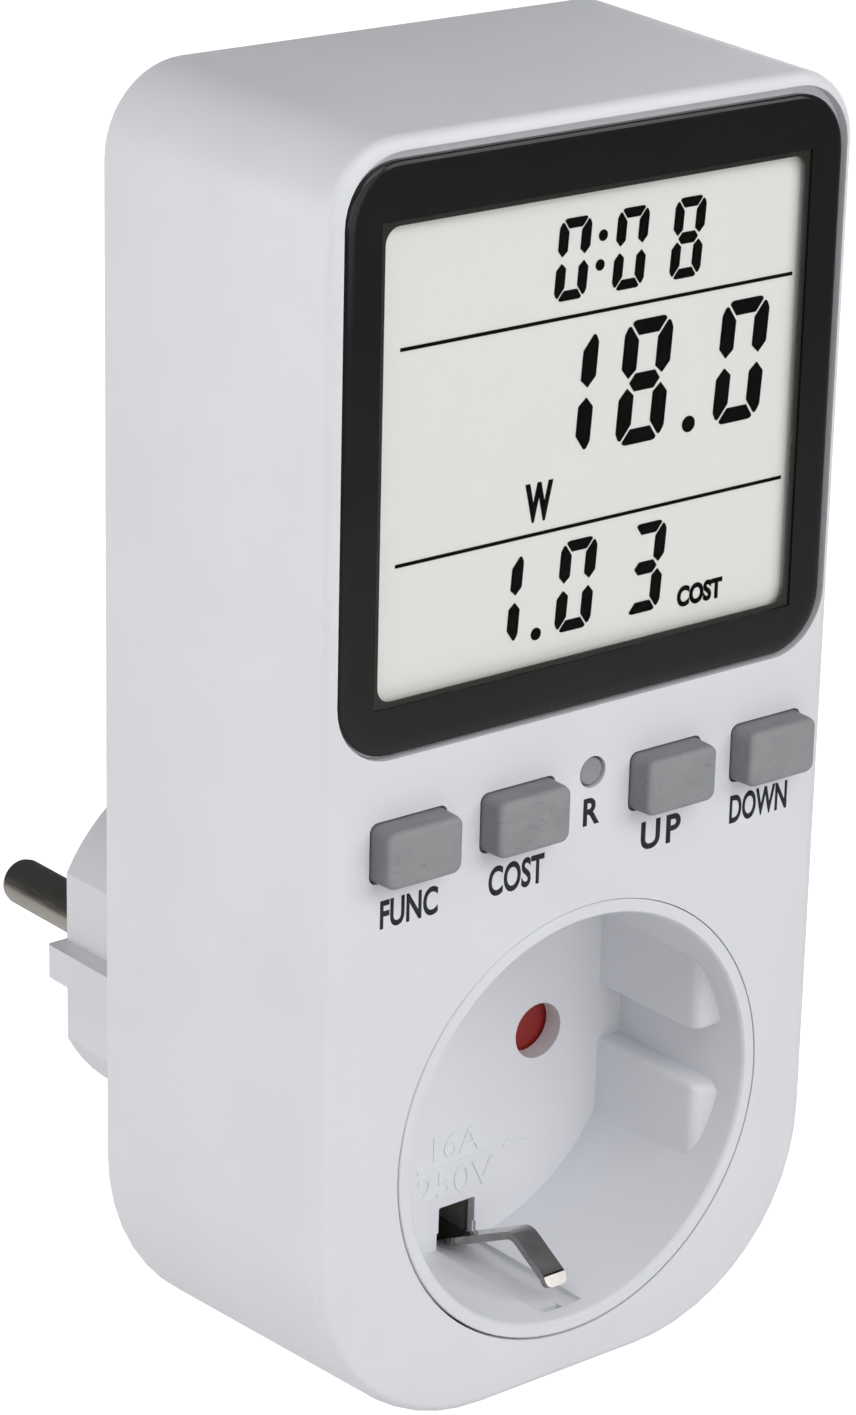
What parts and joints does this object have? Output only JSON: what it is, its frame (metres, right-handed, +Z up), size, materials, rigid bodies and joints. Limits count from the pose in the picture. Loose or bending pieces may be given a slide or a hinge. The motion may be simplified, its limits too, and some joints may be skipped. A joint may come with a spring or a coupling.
{
  "type": "plug in power meter",
  "caption": "Wall-plug energy meter with a rear plug, a front socket with a shutter and earth clips, a display window, function keys and a reset button.",
  "frame": {"origin": "centre of the plug's flat engaging face, on the axis that the plug and the front socket share", "axes": "+Y out of the plug face towards the wall and along the pins, +Z up the long side, +X to the right as one faces the display"},
  "size_m": [0.0608, 0.0803, 0.1227],
  "materials": {
    "white_plastic": "fine satin texture",
    "red_plastic": "gloss",
    "black_gloss": "high gloss",
    "black_plastic": "satin",
    "dark_olive": "printed film",
    "clear_acrylic": "clear",
    "lcd_glass": "reflective",
    "pink_silicone": "satin",
    "grey_rubber": "matte silicone",
    "circuit_board": "solder mask",
    "black_epoxy": "moulded",
    "yellow_case": "moulded",
    "blue_sleeve": "sleeved",
    "blue_lacquer": "lacquered",
    "fuse_ceramic": "fired",
    "resistor_body": "lacquered",
    "green_sleeve": "sleeved",
    "grey_ribbon": "satin",
    "manganin": "bright",
    "copper": "bright",
    "brass": "bright",
    "nickel": "nickel plated",
    "zinc_steel": "zinc plated",
    "silver_label": "foil label"
  },
  "bodies": {
    "housing": {"backup_battery": "green_sleeve", "case_screw_1": "zinc_steel", "case_screw_2": "zinc_steel", "case_screw_3": "zinc_steel", "case_screw_4": "zinc_steel", "contact_carrier": "black_plastic", "contact_live": "brass", "contact_neutral": "brass", "controller_chip": "black_epoxy", "display_bezel": "black_gloss", "display_board": "circuit_board", "display_mask": "dark_olive", "display_screw_1": "zinc_steel", "display_screw_2": "zinc_steel", "display_window": "clear_acrylic", "dropper_resistor": "resistor_body", "earth_link": "brass", "electrolytic_capacitor": "blue_sleeve", "front_housing": "white_plastic", "fuse": "fuse_ceramic", "keypad_mat": "grey_rubber", "lcd_holder": "black_plastic", "lcd_panel": "lcd_glass", "main_board": "circuit_board", "main_screw_1": "zinc_steel", "main_screw_2": "zinc_steel", "metering_chip": "black_epoxy", "neutral_strip": "copper", "pin_bridge": "black_plastic", "pin_live": "nickel", "pin_neutral": "nickel", "plug_earth_bottom": "nickel", "plug_earth_top": "nickel", "rating_label": "silver_label", "rear_cover": "white_plastic", "reset_switch": "black_epoxy", "ribbon_cable": "grey_ribbon", "shunt_strip": "manganin", "shutter_spring": "zinc_steel", "socket_insert": "white_plastic", "varistor": "blue_lacquer", "x2_capacitor": "yellow_case", "zebra_strip_bottom": "pink_silicone", "zebra_strip_top": "pink_silicone"},
    "child_shutter": {"child_shutter": "red_plastic"},
    "earth_clip_bottom": {"earth_clip_bottom": "nickel"},
    "earth_clip_top": {"earth_clip_top": "nickel"},
    "key_cost": {"key_cost": "grey_rubber"},
    "key_down": {"key_down": "grey_rubber"},
    "key_func": {"key_func": "grey_rubber"},
    "key_up": {"key_up": "grey_rubber"},
    "reset_button": {"reset_button": "grey_rubber"}
  },
  "joints": [
    {"name": "key_func_press", "type": "slide", "parent": "housing", "child": "key_func", "axis": [0, 1, 0], "range_m": [0, 0.001], "stiffness_N_per_m": 600},
    {"name": "key_cost_press", "type": "slide", "parent": "housing", "child": "key_cost", "axis": [0, 1, 0], "range_m": [0, 0.001], "stiffness_N_per_m": 600},
    {"name": "key_up_press", "type": "slide", "parent": "housing", "child": "key_up", "axis": [0, 1, 0], "range_m": [0, 0.001], "stiffness_N_per_m": 600},
    {"name": "key_down_press", "type": "slide", "parent": "housing", "child": "key_down", "axis": [0, 1, 0], "range_m": [0, 0.001], "stiffness_N_per_m": 600},
    {"name": "reset_press", "type": "slide", "parent": "housing", "child": "reset_button", "axis": [0, 1, 0], "range_m": [0, 0.0006], "stiffness_N_per_m": 600},
    {"name": "shutter_turn", "type": "hinge", "parent": "housing", "child": "child_shutter", "pos_m": [0, -0.0388, 0], "axis": [0, 1, 0], "range_deg": [0, 45], "stiffness_Nm_per_rad": 0.004},
    {"name": "earth_clip_top_flex", "type": "hinge", "parent": "housing", "child": "earth_clip_top", "pos_m": [0, -0.036, 0.0192], "axis": [-1, 0, 0], "range_deg": [0, 2.5], "stiffness_Nm_per_rad": 0.8},
    {"name": "earth_clip_bottom_flex", "type": "hinge", "parent": "housing", "child": "earth_clip_bottom", "pos_m": [0, -0.036, -0.0192], "axis": [1, 0, 0], "range_deg": [0, 4.8], "stiffness_Nm_per_rad": 0.8}
  ]
}
